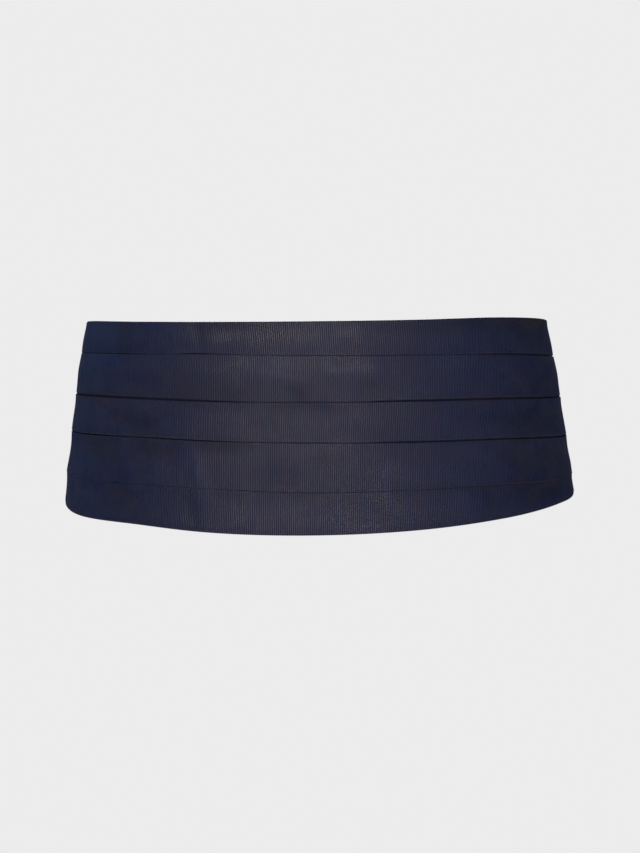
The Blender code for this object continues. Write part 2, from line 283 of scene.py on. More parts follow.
def add_mesh(name, points, faces, uv=None, material=None, pressed_and_painted_light=None):
    """A mesh object from an array of points, faces as rows of point numbers, and for each point its
    place on the cloth and how far pressing dulls it and painted shade darkens it (below 0, how far
    painted highlight lightens it)."""
    mesh = bpy.data.meshes.new(name)
    mesh.from_pydata(points.reshape(-1, 3), [], faces)
    if uv is not None:
        layer = mesh.uv_layers.new(name="cloth")
        corners = np.empty(len(mesh.loops), dtype=np.int32)
        mesh.loops.foreach_get("vertex_index", corners)
        layer.data.foreach_set("uv", uv.reshape(-1, 2)[corners].astype(np.float32).ravel())
    if pressed_and_painted_light is not None:
        values = mesh.attributes.new("pressed_and_painted_light", "FLOAT", "POINT")
        values.data.foreach_set("value", pressed_and_painted_light.astype(np.float32).ravel())
    mesh.shade_smooth()
    piece = bpy.data.objects.new(name, mesh)
    bpy.context.scene.collection.objects.link(piece)
    piece.data.materials.append(material)
    return piece


def tube_faces(rings, around, closed=False):
    """Four-sided faces of rings of points, one ring after the other, facing outwards where each
    ring turns to the left as seen from the next. The ends get a cap unless the rings close."""
    lengths = np.arange(rings if closed else rings - 1)
    ring, step = np.meshgrid(lengths, np.arange(around), indexing="ij")
    after, beside = (ring + 1) % rings, (step + 1) % around
    here, there = ring * around, after * around
    faces = np.stack((here + step, here + beside, there + beside, there + step), axis=-1)
    faces = faces.reshape(-1, 4).tolist()
    if not closed:
        faces.append(list(range(around))[::-1])
        faces.append(list(range((rings - 1) * around, rings * around)))
    return faces


# ---- The pleated front ----------------------------------------------------------------------
# One length of silk over an interlining, folded into knife pleats whose folds face up, pressed,
# and drawn in at both ends to the width of the straps. Its folded edges lie over the band above
# them, and they gape where the waist turns.

CLOTH = 0.95 * MM  # the wall behind the pleats
LAP = 0.75 * MM  # the doubled cloth of a folded edge
REST = 0.85 * MM  # how far a band's lower part stands off the wall behind the next fold
TOP_EDGE = 1.5 * MM  # thickness of the two turned edges
BOTTOM_EDGE = 1.6 * MM
SLOT_SHARE = 0.36  # depth of the open slot behind a fold, as a share of the band below it
SLOT_START = 0.3  # where the slot's points start, as a share of its depth
CRACK = 0.12 * MM  # a closed fold's slot
GAPE = 0.45 * MM  # what a gaping fold's slot has more
MOUTH = 0.30 * MM  # height of the hollow above a closed fold
MOUTH_GAPE = 1.7 * MM  # what a gaping fold's hollow has more
FLUSH_BELOW = 0.35  # a fold that gapes less than this has a shallower hollow, down to none at 0
HOLLOW = 0.6 * MM  # how much thinner the wall is behind a gaping fold
EDGE_ROOM = 0.06 * MM  # between a band's lower end and the fold that it meets
CREST_FADES = 0.8  # share of a band's face by which its crest's level is gone
BELLY_KEEPS = 0.9  # share of the last band's face from which its belly goes
END_ROUND = 0.8 * MM  # length over which the wall thins at both ends
END_THIN = 0.15  # share of its thickness that it keeps there
END_COLUMNS = (0.12, 0.4, 0.7)  # places of the columns on that length
END_MIDDLE = 0.6 * CLOTH  # the level that it thins to
BOTTOM_TURN = 1.6 * MM  # how far the bottom edge of the worn front turns outward
BOTTOM_TURN_FROM = 115.0 * MM  # girth from which it turns out less
BOTTOM_TURN_TO = 200.0 * MM  # girth from which it doesn't
AREA_COLUMNS = 201  # numbers of points: round the waist, for the flat area and for the wall
COLUMNS = 321
FACE_POINTS = 24  # and down a face, a slot, an edge and the inside
SLOT_POINTS = 3
EDGE_POINTS = 9
INSIDE_POINTS = 12

# Depths in millimetres of the edges and the folds' crests, a row for each place round the waist.
CUT_COLUMNS = ("girth", "top", "fold_1", "fold_2", "fold_3", "fold_4", "bottom")
CUT = np.array(
    (
        (-310.0, 16.0, 27.0, 38.3, 49.6, 60.8, 71.0),
        (-250.0, 5.0, 21.6, 43.0, 63.2, 84.0, 99.5),
        (-185.0, 0.6, 19.9, 45.2, 68.1, 94.4, 115.4),
        (-110.0, 0.6, 19.9, 46.6, 69.4, 96.8, 120.9),
        (-70.0, 0.7, 19.7, 47.6, 70.8, 98.4, 124.0),
        (0.0, 0.3, 20.6, 47.8, 71.6, 100.5, 125.2),
        (60.0, -0.6, 20.3, 47.5, 71.5, 99.0, 122.5),
        (115.0, -2.0, 20.1, 46.8, 70.6, 97.3, 117.0),
        (165.0, -1.2, 21.4, 46.9, 70.7, 96.4, 110.5),
        (200.0, 0.6, 22.2, 46.6, 70.0, 94.2, 106.2),
        (250.0, 5.0, 23.0, 43.6, 63.4, 82.0, 91.5),
        (310.0, 16.0, 27.0, 38.3, 49.6, 60.8, 71.0),
    )
)

# How far each fold gapes, from 0 to 1, a row for each place round the waist.
GAPE_COLUMNS = ("girth", "fold_1", "fold_2", "fold_3", "fold_4")
GAPES = np.array(
    (
        (-310.0, 0.1, 0.2, 0.2, 0.1),
        (-240.0, 0.2, 0.4, 0.3, 0.1),
        (-200.0, 0.1, 0.35, 0.30, 0.05),
        (-160.0, 0.08, 0.95, 0.6, 0.03),
        (-110.0, 0.20, 1.0, 0.3, 0.0),
        (-92.0, 0.0, 1.0, 0.45, 0.0),
        (-80.0, 0.25, 0.9, 0.4, 0.05),
        (-45.0, 0.0, 0.22, 0.18, 0.03),
        (0.0, 0.12, 0.15, 0.18, 0.08),
        (25.0, 0.10, 0.15, 0.18, 0.08),
        (55.0, 0.15, 0.8, 0.6, 0.05),
        (100.0, 0.2, 0.9, 0.6, 0.05),
        (130.0, 0.5, 0.85, 0.65, 0.10),
        (160.0, 0.6, 0.8, 0.65, 0.08),
        (200.0, 0.25, 0.35, 0.30, 0.05),
        (240.0, 0.2, 0.4, 0.3, 0.1),
        (310.0, 0.1, 0.2, 0.2, 0.1),
    )
)

# How each band bellies, in millimetres outward, down its face from one fold to the next: the
# share of the way down, then bands 1 to 5.
BELLIES = np.array(
    (
        (0.00, 0.00, 0.00, 0.00, 0.00, 0.00),
        (0.12, 0.00, 0.18, -0.22, -0.22, -0.12),
        (0.25, 0.06, 0.38, -0.30, -0.36, -0.18),
        (0.45, 0.20, 0.52, -0.15, -0.32, -0.08),
        (0.70, 0.22, 0.24, 0.10, -0.02, 0.12),
        (1.00, 0.00, 0.00, 0.22, 0.30, 0.30),
    )
)

# Soft ridges (height above 0), troughs and pressed marks with painted light, placed one by one.
# Lean is in degrees of its length from level, down towards +X; length and width are halves; the
# sizes are in millimetres. Pressed is how flat and dull the cloth is there, and it is also painted
# shade: it darkens the colour in the troughs and other patches, in strips along the folds, along
# the top edge towards +X and over the side towards +X; below 0 it is painted highlight, lighter and
# shinier, on the ridges. The last eight are behind the sides, where the photo shows nothing. The
# columns are girth, depth, lean, length, width, height and pressed.
CREASES = np.array(
    (
        (-50.0, 6.5, 2.0, 38.0, 4.0, -0.18, 0.0),
        (-48.0, 3.2, 2.0, 38.0, 2.4, 0.0, 0.30),
        (-124.0, 9.0, 82.0, 11.0, 7.0, -0.30, 0.45),
        (-88.0, 4.0, 0.0, 14.0, 5.0, 0.30, -0.35),
        (-70.0, 9.0, 75.0, 9.0, 3.0, -0.35, 0.30),
        (-60.0, 11.5, 0.0, 14.0, 4.0, 0.12, -0.15),
        (5.0, 10.0, 85.0, 12.0, 14.0, 0.10, -0.20),
        (60.0, 3.0, 0.0, 32.0, 4.0, 0.40, 0.35),
        (150.0, -3.0, 0.0, 62.0, 6.0, 1.10, 0.0),
        (158.0, 0.5, 0.0, 58.0, 5.0, 0.0, 1.00),
        (156.0, 11.0, 0.0, 40.0, 9.0, 0.0, 0.50),
        (-12.0, 31.0, 0.0, 42.0, 3.5, 0.12, 0.0),
        (-30.0, 27.0, 0.0, 16.0, 5.0, 0.05, -0.40),
        (-19.0, 32.5, 9.0, 11.0, 1.4, 0.12, -0.60),
        (14.0, 29.5, -6.0, 9.0, 2.0, 0.12, -0.60),
        (31.0, 27.5, 0.0, 9.0, 4.0, 0.10, -0.40),
        (-85.0, 39.0, 3.0, 32.0, 6.0, -0.20, 0.25),
        (-48.0, 43.0, 0.0, 15.0, 4.0, -0.15, 0.35),
        (-10.0, 41.0, 20.0, 8.0, 4.0, -0.10, 0.30),
        (30.0, 38.0, 70.0, 5.0, 7.0, -0.10, 0.30),
        (162.0, 34.0, 0.0, 34.0, 12.0, 0.0, 0.50),
        (-118.0, 58.0, 10.0, 18.0, 7.0, -0.30, 0.45),
        (150.0, 59.0, 0.0, 36.0, 10.0, -0.30, 0.70),
        (18.0, 57.0, -20.0, 13.0, 4.0, 0.15, -0.25),
        (-145.0, 78.0, 15.0, 22.0, 9.0, -0.50, 0.55),
        (-100.0, 75.0, 0.0, 16.0, 6.0, -0.40, 0.45),
        (-121.0, 85.0, 60.0, 9.0, 3.5, 0.40, -0.40),
        (-98.0, 87.0, 20.0, 9.0, 3.0, 0.30, -0.30),
        (-72.0, 88.0, 75.0, 16.0, 5.0, 0.35, -0.45),
        (-58.0, 73.5, 0.0, 20.0, 3.5, -0.30, 0.50),
        (128.0, 80.0, 70.0, 22.0, 12.0, -0.40, 0.45),
        (165.0, 86.0, 0.0, 28.0, 12.0, -0.30, 0.55),
        (48.0, 88.0, 0.0, 22.0, 5.0, 0.10, -0.20),
        (-128.0, 105.0, 0.0, 18.0, 10.0, -0.40, 0.45),
        (-160.0, 106.0, 0.0, 18.0, 6.0, 0.30, -0.30),
        (-76.0, 112.0, 80.0, 12.0, 5.0, -0.30, 0.30),
        (-12.0, 112.0, 0.0, 50.0, 9.0, 0.15, -0.25),
        (88.0, 107.0, 70.0, 9.0, 9.0, 0.30, -0.35),
        (104.0, 106.0, 85.0, 9.0, 4.0, -0.25, 0.40),
        (150.0, 103.0, -8.0, 38.0, 7.0, -0.30, 0.60),
        (-155.0, 18.6, 0.0, 34.0, 2.6, 0.0, 0.30),
        (-125.0, 45.6, 1.0, 62.0, 2.6, 0.0, 0.35),
        (115.0, 46.2, -0.6, 66.0, 2.2, 0.0, 0.40),
        (0.0, 50.5, 0.0, 60.0, 2.4, 0.0, 0.20),
        (-135.0, 68.8, 1.0, 50.0, 2.4, 0.0, 0.30),
        (118.0, 70.2, -0.6, 66.0, 2.2, 0.0, 0.30),
        (-12.0, 102.6, 0.0, 34.0, 2.6, 0.0, 0.35),
        (70.0, 98.9, -1.6, 34.0, 2.2, 0.0, 0.25),
        (128.0, 97.4, -1.2, 40.0, 2.2, 0.0, 0.45),
        (-230.0, 60.0, 30.0, 30.0, 9.0, -0.50, 0.30),
        (235.0, 50.0, -25.0, 32.0, 9.0, -0.50, 0.30),
        (-265.0, 30.0, 60.0, 14.0, 5.0, 0.40, -0.20),
        (268.0, 74.0, 20.0, 20.0, 7.0, -0.40, 0.20),
        (-205.0, 92.0, 0.0, 25.0, 8.0, 0.40, -0.20),
        (212.0, 88.0, 12.0, 22.0, 6.0, 0.40, -0.20),
        (-280.0, 55.0, 0.0, 16.0, 6.0, -0.30, 0.20),
        (250.0, 25.0, 10.0, 26.0, 5.0, -0.35, 0.20),
    )
)

# The lean of the ribs in each band, in degrees from upright, positive with the top towards +X.
RIB_LEANS = (4.6, 1.7, -0.8, 0.9, 1.0)
RIB_SHIFT = 0.31 * RIB  # how far each band's ribs lie beside those of the band above


def table_curve(table, column, at):
    """A smooth curve through one column of a table against its first: on each stretch the cubic
    whose slope at each row is the slope between its neighbours."""
    places, values = table[:, 0], table[:, column]
    slopes = np.gradient(values, places)
    row = np.clip(np.searchsorted(places, at) - 1, 0, len(places) - 2)
    span = places[row + 1] - places[row]
    u = (at - places[row]) / span
    return (
        values[row] * (2 * u**3 - 3 * u**2 + 1)
        + slopes[row] * span * (u**3 - 2 * u**2 + u)
        + values[row + 1] * (3 * u**2 - 2 * u**3)
        + slopes[row + 1] * span * (u**3 - u**2)
    )


def front_edges(girth):
    """Depths of the top edge, the four folds and the bottom edge, a row for each."""
    return [table_curve(CUT, column, girth / MM) * MM for column in range(1, len(CUT_COLUMNS))]


def fold_gapes(girth):
    """How far each of the four folds gapes."""
    return [
        np.clip(table_curve(GAPES, column, girth / MM), 0.0, 1.0)
        for column in range(1, len(GAPE_COLUMNS))
    ]


def band_face(band, girth, share):
    """Outward and depth down the face of a band, by its share from 0 at its crest to 1 at the
    next fold: the crest's own level eased to the level that it rests at, plus the belly, and then
    on a straight slope in to the wall at the mouth of the next slot."""
    edges, gapes = front_edges(girth), fold_gapes(girth)
    first, last = band == 0, band == len(edges) - 2
    crest = TOP_EDGE + 0.0 * girth if first else CLOTH + CRACK + GAPE * gapes[band - 1] + LAP
    radius = TOP_EDGE / 2 if first else LAP / 2
    above = edges[band] + radius
    below = edges[band + 1] - (BOTTOM_EDGE / 2 if last else EDGE_ROOM)
    depth = above + (below - above) * share
    level = BOTTOM_EDGE if last else CLOTH + REST
    outward = crest + (level - crest) * ease(share / CREST_FADES)
    outward = outward + table_curve(BELLIES, band + 1, share) * MM
    if last:
        gone = ease((share - BELLY_KEEPS) / (1.0 - BELLY_KEEPS))
        outward = outward - BELLIES[-1, band + 1] * MM * gone
    else:
        mouth = MOUTH + MOUTH_GAPE * gapes[band]
        turned = np.clip(1.0 - (below - depth) / mouth, 0.0, 1.0)
        turned = turned * np.clip(gapes[band] / FLUSH_BELOW, 0.0, 1.0)
        outward = outward + (CLOTH - HOLLOW * gapes[band] - outward) * turned
    return outward, depth


def creases(girth, depth):
    """The sum of the creases' heights and of their marks at each place: pressing and painted shade,
    and below 0 painted highlight. Each has the shape of a bell, exp(-a^2 - b^2), where a and b are
    the place's distances from its middle along it and across it, over its length and its width."""
    middle_girth, middle_depth, lean, length, width, height, pressed_and_painted_light = CREASES.T
    right = girth[..., None] / MM - middle_girth
    down = depth[..., None] / MM - middle_depth
    cosine, sine = np.cos(np.radians(lean)), np.sin(np.radians(lean))
    along, across = right * cosine + down * sine, down * cosine - right * sine
    bell = np.exp(-((along / length) ** 2) - (across / width) ** 2)
    return (bell * height).sum(axis=-1) * MM, (bell * pressed_and_painted_light).sum(axis=-1)


def section_arc(outward, depth, radius, start, end):
    """An arc about (outward, depth); 0 degrees points outward and 90 down."""
    angle = np.radians(np.linspace(start, end, EDGE_POINTS))
    return outward + radius * np.cos(angle), depth + radius * np.sin(angle)


def front_sections(girth):
    """The wall's outline at each girth, a row for each: from the top edge down the pleated face,
    in and out of every slot, round the bottom edge and up the plain inside. The points on a face
    are closest at its crest and its mouth, by a cosine. Gives outward and depth."""
    edges, gapes = front_edges(girth), fold_gapes(girth)
    share = 0.5 - 0.5 * np.cos(np.linspace(0.0, math.pi, FACE_POINTS + 1)[1:])
    top, bottom = TOP_EDGE / 2, BOTTOM_EDGE / 2
    high, low = edges[0] + top, edges[-1] - bottom
    parts = [section_arc(top, high, top, -180, 0)]
    parts.append(band_face(0, girth, share))
    for fold in range(1, len(edges) - 1):
        crest, below = edges[fold], edges[fold + 1]
        slot_end = crest + SLOT_SHARE * (below - crest)
        wall = CLOTH - HOLLOW * gapes[fold - 1]
        floor = CLOTH + CRACK + GAPE * gapes[fold - 1]
        down = np.linspace(SLOT_START, 1.0, SLOT_POINTS)
        parts.append((wall, crest - EDGE_ROOM / 2))
        parts.append((wall + 0.0 * down, crest + (slot_end - crest) * down))
        parts.append((floor + 0.0 * down, crest + (slot_end - crest) * down[::-1]))
        parts.append(section_arc(floor + LAP / 2, crest + LAP / 2, LAP / 2, -180, 0))
        parts.append(band_face(fold, girth, share))
    parts.append(section_arc(bottom, low, bottom, 0, 180))
    up = np.linspace(0.0, 1.0, INSIDE_POINTS + 2)[1:-1]
    parts.append((0.0 * (low + up), low + (high - low) * up))
    outward = np.concatenate([np.broadcast_to(o, d.shape) for o, d in parts], axis=1)
    depth = np.concatenate([d for _, d in parts], axis=1)
    return outward, depth


STRAP_THICKNESS = 1.2 * MM
STRAP_TUCK = 20.0 * MM
SEAM_GAP = 0.3 * MM
LIFT_RAMP = 40.0 * MM  # length over which the front rises on to a strap
LIFT_LEVEL = 5.0 * MM  # length before the strap over which it has risen


def front_lift(girth):
    """How far the front stands off the waist: over the tucked end of a strap, by its wall."""
    over_strap = FRONT_HALF_LENGTH - STRAP_TUCK
    lift = ease((np.abs(girth) - over_strap + LIFT_RAMP) / (LIFT_RAMP - LIFT_LEVEL))
    return (STRAP_THICKNESS + SEAM_GAP) * lift


def pleated_front():
    """The sections of the wall at every column, thinned on a circle towards both ends, with the
    creases added, and the bottom edge turned out by a parabola. The ribs are sheared by their
    lean in each band."""
    spread = np.linspace(-FRONT_HALF_LENGTH, FRONT_HALF_LENGTH, COLUMNS)
    rounding = END_ROUND * np.array(END_COLUMNS)
    girth = np.concatenate((spread, spread[0] + rounding, spread[-1] - rounding))
    girth = np.sort(girth)[:, None]
    outward, depth = front_sections(girth)
    from_end = np.clip((FRONT_HALF_LENGTH - np.abs(girth)) / END_ROUND, 0.0, 1.0)
    thinned = END_THIN + (1.0 - END_THIN) * np.sqrt(1.0 - (1.0 - from_end) ** 2)
    outward = END_MIDDLE + (outward - END_MIDDLE) * thinned
    edges = front_edges(girth)
    relief, pressed_and_painted_light = creases(girth + 0.0 * depth, depth)
    down = np.clip((depth - edges[-2]) / (edges[-1] - edges[-2]), 0.0, 1.0)
    past = (np.abs(girth) - BOTTOM_TURN_FROM) / (BOTTOM_TURN_TO - BOTTOM_TURN_FROM)
    relief = relief + BOTTOM_TURN * down**2 * (1.0 - ease(past))
    points = on_waist(girth, depth, outward + front_lift(girth) + relief)
    rib_girth = girth + 0.0 * depth
    for band, lean in enumerate(RIB_LEANS):
        middle_depth = (edges[band] + edges[band + 1]) / 2
        inside = (depth >= edges[band]) & (depth < edges[band + 1])
        sheared = girth + (depth - middle_depth) * math.tan(math.radians(lean))
        rib_girth = np.where(inside, sheared + band * RIB_SHIFT, rib_girth)
    cloth = np.stack((rib_girth, depth), axis=-1)
    faces = tube_faces(*depth.shape)
    return add_mesh("front_cloth", points, faces, cloth, silk, pressed_and_painted_light)


front = pleated_front()
front_columns = np.linspace(-FRONT_HALF_LENGTH, FRONT_HALF_LENGTH, AREA_COLUMNS)
front_top, *_, front_bottom = front_edges(front_columns)
front_area = float(np.mean(front_bottom - front_top)) * 2 * FRONT_HALF_LENGTH
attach(front, "root")
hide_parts("pleated_front")

# ---- The back straps ------------------------------------------------------------------------
# Two straps of the same silk, folded flat with both edges turned in. Each is sewn inside an end
# of the front, goes round the metal's bar, and comes back inside itself, where it is stitched.

STRAP_HEIGHT = 44.0 * MM
RETURN_END = 36.0 * MM  # distance from the centre back to a strap's returned end
RETURN_RAMP = 10.0 * MM  # length over which the strap eases up over its returned end
DOUBLED_RUN = 4.0 * MM  # length of it that lies flat there before it rises to the bar
METAL_OUTWARD = 2.5 * MM  # level of the eye's and the hook's middle
WIRE_RADIUS = 0.9 * MM
EYE_STRAP_BAR = -10.6 * MM  # distance from the centre back to the eye's bar for the strap
PLATE = 1.2 * MM  # thickness of the hook's plate, and the width of its bars
PLATE_BAR = 2.4 * MM
HOOK_ROOT = 3.6 * MM  # distance from the centre back to the slotted end, and the slot's width
HOOK_SLOT = 3.6 * MM
STRAP_PLAY = 0.5 * MM  # how far the strap's turn lies past the slot
OUT_POINTS = 46  # numbers of points: on the outer run, round the bar and on the return
TURN_POINTS = 18
RETURN_POINTS = 16
STRAP_CORNER = 0.96  # rounding of the strap's edges, as a share of half its thickness
STRAP_CORNER_POINTS = 6
WAVES = ((0.006, 95.0), (0.004, 230.0))  # the edges' waves: share of height, radians in a metre


def at_back(from_centre, depth, outward):
    """Points by their distance from the centre back, positive towards +X."""
    return on_waist(half_girth - from_centre, depth, outward)


def strap_line(turn_centre, turn_radius):
    """Middle line of a strap in plan, as distance from the centre back and outward: flat on the
    waist, eased up over its own returned end and out to the bar, half a circle round the bar,
    and eased back to the waist underneath."""
    lying = STRAP_THICKNESS / 2
    doubled = lying + STRAP_THICKNESS + SEAM_GAP
    over, under = METAL_OUTWARD + turn_radius, METAL_OUTWARD - turn_radius
    start = half_girth - FRONT_HALF_LENGTH + STRAP_TUCK
    out = np.linspace(start, turn_centre, OUT_POINTS)
    outward = lying + (doubled - lying) * ease((RETURN_END + RETURN_RAMP - out) / RETURN_RAMP)
    rise_start = RETURN_END - DOUBLED_RUN
    outward = outward + (over - doubled) * ease((rise_start - out) / (rise_start - turn_centre))
    turn = math.pi * np.linspace(0.0, 1.0, TURN_POINTS)[1:-1]
    turned = turn_centre - turn_radius * np.sin(turn)
    turned_outward = METAL_OUTWARD + turn_radius * np.cos(turn)
    back = np.linspace(turn_centre, RETURN_END, RETURN_POINTS)
    share = (back - turn_centre) / (RETURN_END - turn_centre)
    back_outward = under + (lying - under) * ease(2.0 * share)
    along = np.concatenate((out, turned, back))
    return along, np.concatenate((outward, turned_outward, back_outward))


def swept_section(along, outward, half_height, half_thickness, corner, corner_steps):
    """A rounded rectangle carried along a line in plan: at each point of the line the section's
    short side lies along the line's own normal and its long side up and down. Gives distance,
    outward and height for every point of every section, and the length run so far."""
    step_along, step_outward = np.gradient(along), np.gradient(outward)
    length = np.hypot(step_along, step_outward)
    normal_along, normal_outward = -step_outward / length, step_along / length
    quarter = np.linspace(0.0, math.pi / 2, corner_steps)
    angle = np.concatenate([quarter + math.pi / 2 * turn for turn in range(4)])
    side_thick = np.repeat((1.0, -1.0, -1.0, 1.0), corner_steps) * (half_thickness - corner)
    side_high = np.repeat((1.0, 1.0, -1.0, -1.0), corner_steps) * (half_height - corner)
    thick = side_thick + corner * np.cos(angle)
    high = side_high + corner * np.sin(angle)
    run = np.concatenate(([0.0], np.cumsum(np.hypot(np.diff(along), np.diff(outward)))))
    return (
        along[:, None] + normal_along[:, None] * thick,
        outward[:, None] + normal_outward[:, None] * thick,
        np.broadcast_to(high, (len(along), len(high))),
        np.broadcast_to(run[:, None], (len(along), len(high))),
    )


def back_strap(name, side, turn_centre, turn_radius):
    """A strap's section carried along its line, its height changed by two sine waves."""
    along, outward = strap_line(turn_centre, turn_radius)
    half = STRAP_THICKNESS / 2
    at, out, high, run = swept_section(
        along, outward, STRAP_HEIGHT / 2, half, half * STRAP_CORNER, STRAP_CORNER_POINTS
    )
    (long_wave, long_turns), (short_wave, short_turns) = WAVES
    wave = 1.0 + long_wave * np.sin(run * long_turns + side)
    high = high * (wave + short_wave * np.sin(run * short_turns))
    points = at_back(side * at, STRAP_DEPTH + high, out)
    cloth = np.stack((run, high), axis=-1)
    faces = tube_faces(*high.shape)
    if side > 0:
        faces = [face[::-1] for face in faces]
    return add_mesh(name, points, faces, cloth, silk)


eye_turn = WIRE_RADIUS + SEAM_GAP + STRAP_THICKNESS / 2
hook_turn = PLATE / 2 + SEAM_GAP + STRAP_THICKNESS / 2
hook_turn_centre = HOOK_ROOT + PLATE_BAR + HOOK_SLOT + STRAP_PLAY
strap_length = half_girth - FRONT_HALF_LENGTH + STRAP_TUCK + RETURN_END
for side, word, turn_centre, turn_radius in (
    (-1, "right", -EYE_STRAP_BAR, eye_turn),
    (1, "left", hook_turn_centre, hook_turn),
):
    strap = back_strap("strap_cloth_" + word, side, turn_centre, turn_radius)
    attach(strap, "root")
    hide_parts("back_strap_" + word)
    strap_length - 2 * turn_centre

# ---- The eye --------------------------------------------------------------------------------
# A narrow ring of round nickel wire, bent to a long rectangle with round corners. The strap
# holds one long side and the hook the other.

EYE_HOOK_BAR = -3.9 * MM  # distance from the centre back to its bar for the hook
EYE_CORNER = 2.2 * MM
BAR_ROOM = 0.75 * MM  # between a strap's edge and the metal beside it
EYE_CORNER_POINTS = 9
WIRE_AROUND = 20
SCRATCH_DEPTH = 0.012 * MM
SCRATCH_TURNS = (900.0, 900.0, 60.0)  # in a metre along X, Y and Z, and those of the clouds
CLOUDS = 260.0
NICKEL_ROUGHNESS = 0.26  # where the plate is cleanest, and what clouds and scratches add
CLOUD_ROUGHENS = 0.16
SCRATCH_ROUGHENS = 0.10
WORN_MOST = 0.7  # share of the worn colour in the brightest patches
NICKEL = (0.36, 0.355, 0.35, 1.0)
NICKEL_WORN = (0.50, 0.49, 0.475, 1.0)


def nickel_material():
    """Plated steel: cloudy roughness, fine scratches along the bars and brighter worn patches."""
    made, shader, start = new_material("dark_nickel_plate")
    place = start.node("ShaderNodeTexCoord", output="Object")
    cloud = start.noise(place, CLOUDS, 4.0)
    upright = {"Vector": place, "Scale": SCRATCH_TURNS}
    scratch = start.noise(start.node("ShaderNodeMapping", {}, upright), 4.0, 3.0, 0.7)
    worn = cloud.clamped(0.52, 0.72) * WORN_MOST
    drive(shader, "Base Color", start.mix(worn, NICKEL, NICKEL_WORN))
    roughness = NICKEL_ROUGHNESS + cloud * CLOUD_ROUGHENS + scratch * SCRATCH_ROUGHENS
    drive(shader, "Roughness", roughness)
    shader.inputs["Metallic"].default_value = 1.0
    drive(shader, "Normal", start.bump(scratch, SCRATCH_DEPTH))
    return made


nickel = nickel_material()


def wire_eye():
    """A circle carried round a closed rounded rectangle that lies on the waist's surface."""
    half_height = STRAP_HEIGHT / 2 + BAR_ROOM + WIRE_RADIUS
    middle = (EYE_STRAP_BAR + EYE_HOOK_BAR) / 2
    half_across = (EYE_HOOK_BAR - EYE_STRAP_BAR) / 2
    quarter = np.linspace(0.0, math.pi / 2, EYE_CORNER_POINTS)
    angle = np.concatenate([quarter + math.pi / 2 * turn for turn in range(4)])
    across = np.repeat((1.0, -1.0, -1.0, 1.0), EYE_CORNER_POINTS) * (half_across - EYE_CORNER)
    down = np.repeat((1.0, 1.0, -1.0, -1.0), EYE_CORNER_POINTS) * (half_height - EYE_CORNER)
    about = np.linspace(0.0, 2 * math.pi, WIRE_AROUND, endpoint=False)
    reach = EYE_CORNER + WIRE_RADIUS * np.cos(about)
    at = middle + across[:, None] + np.cos(angle)[:, None] * reach
    depth = STRAP_DEPTH + down[:, None] + np.sin(angle)[:, None] * reach
    outward = METAL_OUTWARD + WIRE_RADIUS * np.sin(about) + 0.0 * at
    faces = [face[::-1] for face in tube_faces(*at.shape, closed=True)]
    return add_mesh("eye_wire", at_back(at, depth, outward), faces, None, nickel)


eye = wire_eye()
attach(eye, "root")
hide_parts("eye_loop")

# ---- The hook -------------------------------------------------------------------------------
# One stamped plate with its edges tumbled round: a slotted end that takes the strap, and a
# tongue bent over the eye's far bar and back underneath it.

TONGUE_HALF_HEIGHT = 10.0 * MM
TONGUE_CLEARANCE = 0.35 * MM  # between the tongue and the eye's bar
TONGUE_TIP = -0.6 * MM  # distance from the centre back
TONGUE_PINCH = 0.15 * MM  # how much nearer to the middle the tongue lies past its turn
TONGUE_BEND = 0.9 * MM  # how far before its tip's place the tongue starts down to its root
ROOT_RUN = 1.6 * MM  # how far before the slotted end it is almost down, and how high there
ROOT_RISE = 0.25 * MM
TURN_ROWS = 15
TUMBLED = 0.28 * MM  # radius that tumbling gives the edges
SHARP_EDGE = 50.0  # in degrees: what counts as an edge
FLAT_ROWS = 4  # places along the slotted end, where the second stretch is the slot


def hook_line():
    """The plate's middle line in plan: under the bar, half a circle round it, over to the root
    of the tongue, and flat across the slotted end."""
    radius = WIRE_RADIUS + TONGUE_CLEARANCE + PLATE / 2
    turn = math.pi * np.linspace(0.0, 1.0, TURN_ROWS)
    root = (TONGUE_TIP - TONGUE_BEND, HOOK_ROOT - ROOT_RUN)
    level = radius - TONGUE_PINCH
    slot_start = HOOK_ROOT + PLATE_BAR
    flat = (HOOK_ROOT, slot_start, slot_start + HOOK_SLOT, slot_start + HOOK_SLOT + PLATE_BAR)
    along = np.concatenate(((TONGUE_TIP,), EYE_HOOK_BAR - radius * np.sin(turn), root, flat))
    outward = ((-level,), -radius * np.cos(turn), (level, ROOT_RISE), (0.0,) * FLAT_ROWS)
    return along, METAL_OUTWARD + np.concatenate(outward)


